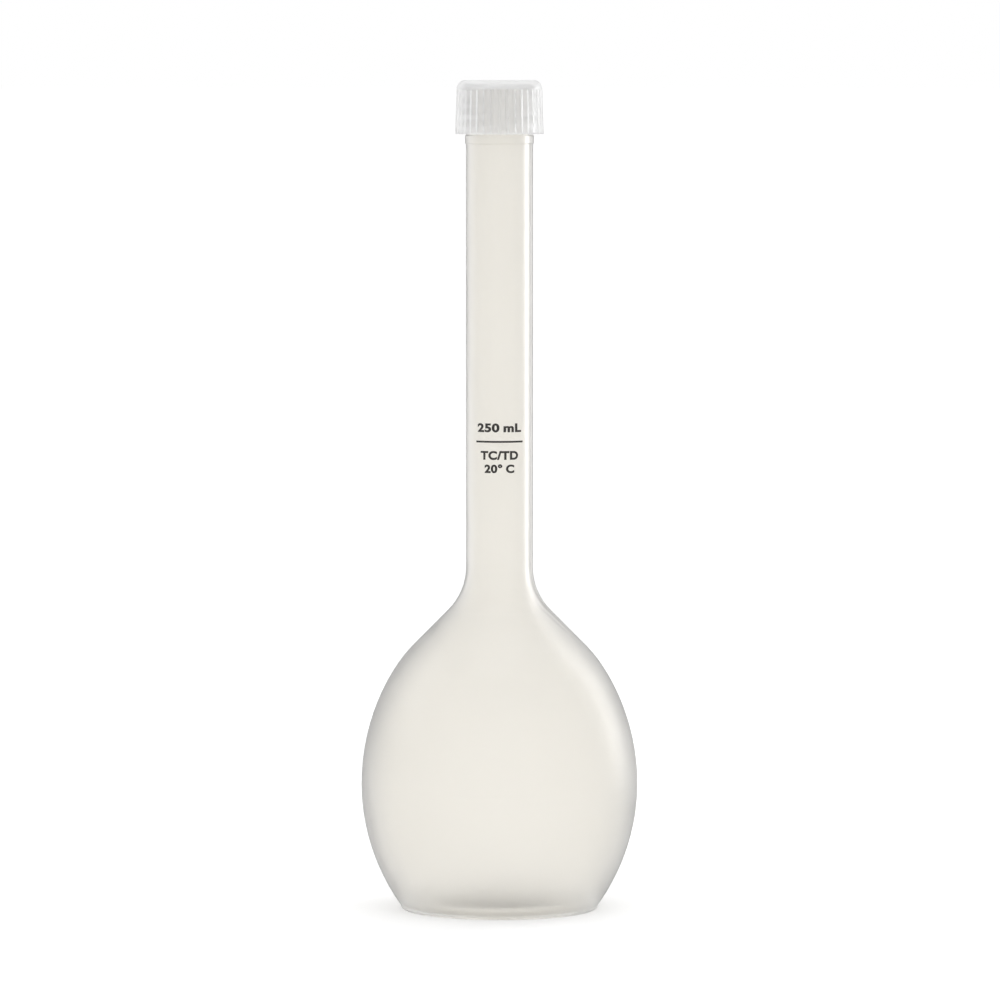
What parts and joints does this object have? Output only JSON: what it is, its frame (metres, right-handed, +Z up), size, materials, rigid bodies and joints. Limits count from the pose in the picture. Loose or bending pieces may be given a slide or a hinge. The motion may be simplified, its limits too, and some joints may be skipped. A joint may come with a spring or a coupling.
{
  "type": "volumetric flask",
  "caption": "Round-bodied plastic volumetric flask with a long narrow neck, a screw thread at its mouth and a ribbed screw cap over a loose sealing disc.",
  "frame": {"origin": "middle of the face that the flask stands on, on its axis", "axes": "+Z up along the axis, towards the cap; +X and +Y are level, and the picture looks along +Y"},
  "size_m": [0.0754, 0.0754, 0.2263],
  "materials": {
    "body_plastic": "milky, translucent, satin",
    "cap_plastic": "clear to milky, smooth",
    "seal_plastic": "milky, translucent, soft"
  },
  "bodies": {
    "flask": {"flask": "body_plastic"},
    "seal": {"seal_disc": "seal_plastic"},
    "cap": {"screw_cap": "cap_plastic"}
  },
  "joints": [
    {"name": "cap_lift", "type": "slide", "parent": "flask", "child": "seal", "axis": [0, 0, 1], "range_m": [0, 0.0191]},
    {"name": "cap_turn", "type": "hinge", "parent": "seal", "child": "cap", "pos_m": [0, 0, 0.2116], "axis": [0, 0, 1], "range_deg": [0, 2160]}
  ],
  "couplings": [
    {"joint": "cap_lift", "follows": "cap_turn", "m_per_rad": 0.00050532}
  ]
}
